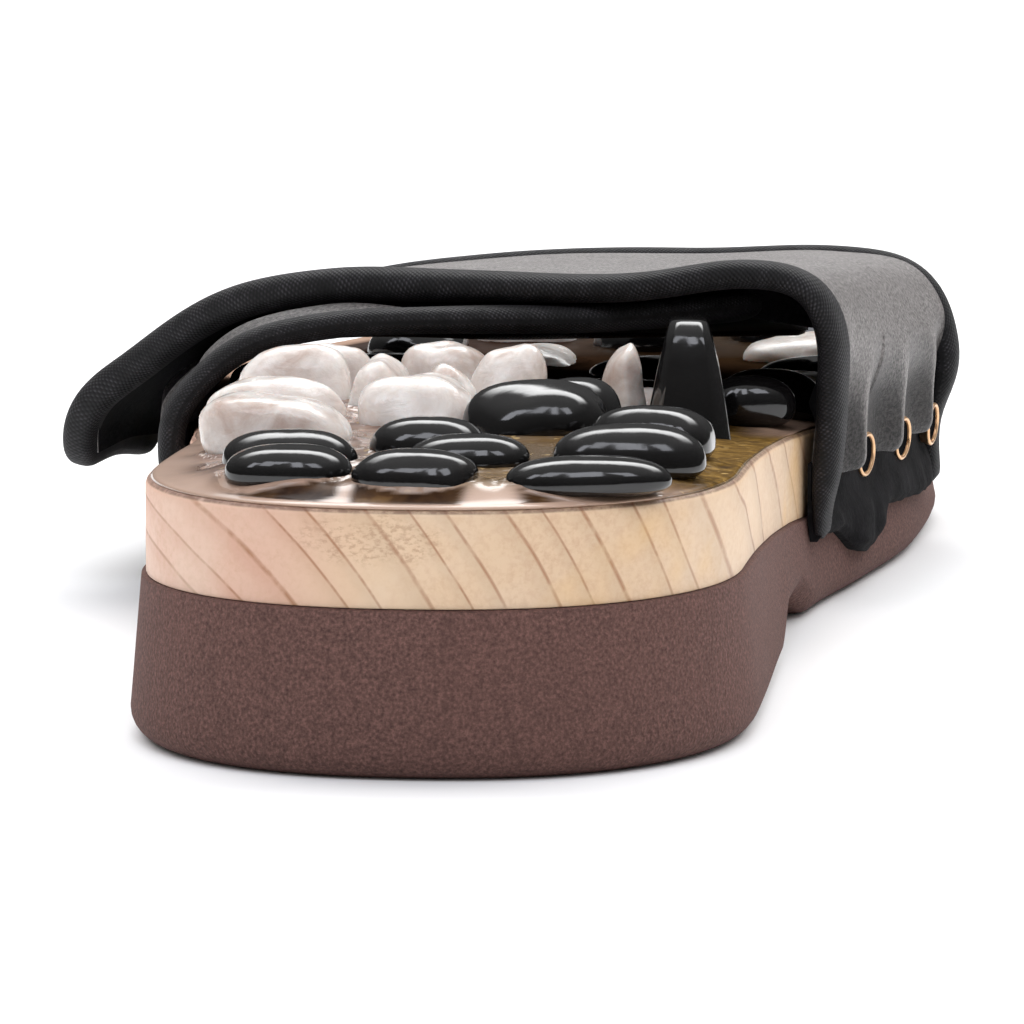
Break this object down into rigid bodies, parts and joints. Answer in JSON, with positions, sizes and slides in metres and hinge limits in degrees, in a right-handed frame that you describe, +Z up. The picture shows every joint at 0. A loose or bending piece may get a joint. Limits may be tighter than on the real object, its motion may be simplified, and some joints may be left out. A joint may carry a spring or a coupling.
{
  "type": "massage sandal",
  "caption": "Open-toed massage sandal: foam wedge sole, wooden footbed set with pebbles in clear resin, and a low leather strap upper with a hook and loop flap.",
  "frame": {"origin": "on the floor, under the middle of the heel", "axes": "+Y from the heel to the toe, +X to the big toe's side, +Z up from the floor"},
  "size_m": [0.1073, 0.2664, 0.042],
  "materials": {
    "black_stone": "polished",
    "brass": "bright",
    "foam": "fine-grained matt foam",
    "leather": "grey, pebbled, half matt, black woven binding",
    "resin": "clear amber, glossy",
    "white_stone": "polished quartz",
    "wood": "sanded, clear lacquer"
  },
  "bodies": {
    "root": {"arch_stone": "black_stone", "footbed_board": "wood", "outsole": "foam", "pebble_black_01": "black_stone", "pebble_black_02": "black_stone", "pebble_black_03": "black_stone", "pebble_black_04": "black_stone", "pebble_black_05": "black_stone", "pebble_black_06": "black_stone", "pebble_black_07": "black_stone", "pebble_black_08": "black_stone", "pebble_black_10": "black_stone", "pebble_black_13": "black_stone", "pebble_black_17": "black_stone", "pebble_black_22": "black_stone", "pebble_black_23": "black_stone", "pebble_black_26": "black_stone", "pebble_black_28": "black_stone", "pebble_black_29": "black_stone", "pebble_black_30": "black_stone", "pebble_black_34": "black_stone", "pebble_black_35": "black_stone", "pebble_black_36": "black_stone", "pebble_black_37": "black_stone", "pebble_black_41": "black_stone", "pebble_black_42": "black_stone", "pebble_black_43": "black_stone", "pebble_white_09": "white_stone", "pebble_white_11": "white_stone", "pebble_white_12": "white_stone", "pebble_white_14": "white_stone", "pebble_white_15": "white_stone", "pebble_white_16": "white_stone", "pebble_white_18": "white_stone", "pebble_white_19": "white_stone", "pebble_white_20": "white_stone", "pebble_white_21": "white_stone", "pebble_white_24": "white_stone", "pebble_white_25": "white_stone", "pebble_white_27": "white_stone", "pebble_white_31": "white_stone", "pebble_white_32": "white_stone", "pebble_white_33": "white_stone", "pebble_white_38": "white_stone", "pebble_white_39": "white_stone", "pebble_white_40": "white_stone", "pebble_white_44": "white_stone", "resin_bed": "resin", "tack_lateral_01": "brass", "tack_lateral_02": "brass", "tack_lateral_03": "brass", "tack_lateral_04": "brass", "tack_medial_01": "brass", "tack_medial_02": "brass", "tack_medial_03": "brass", "tack_medial_04": "brass", "upper": "leather"}
  },
  "joints": []
}
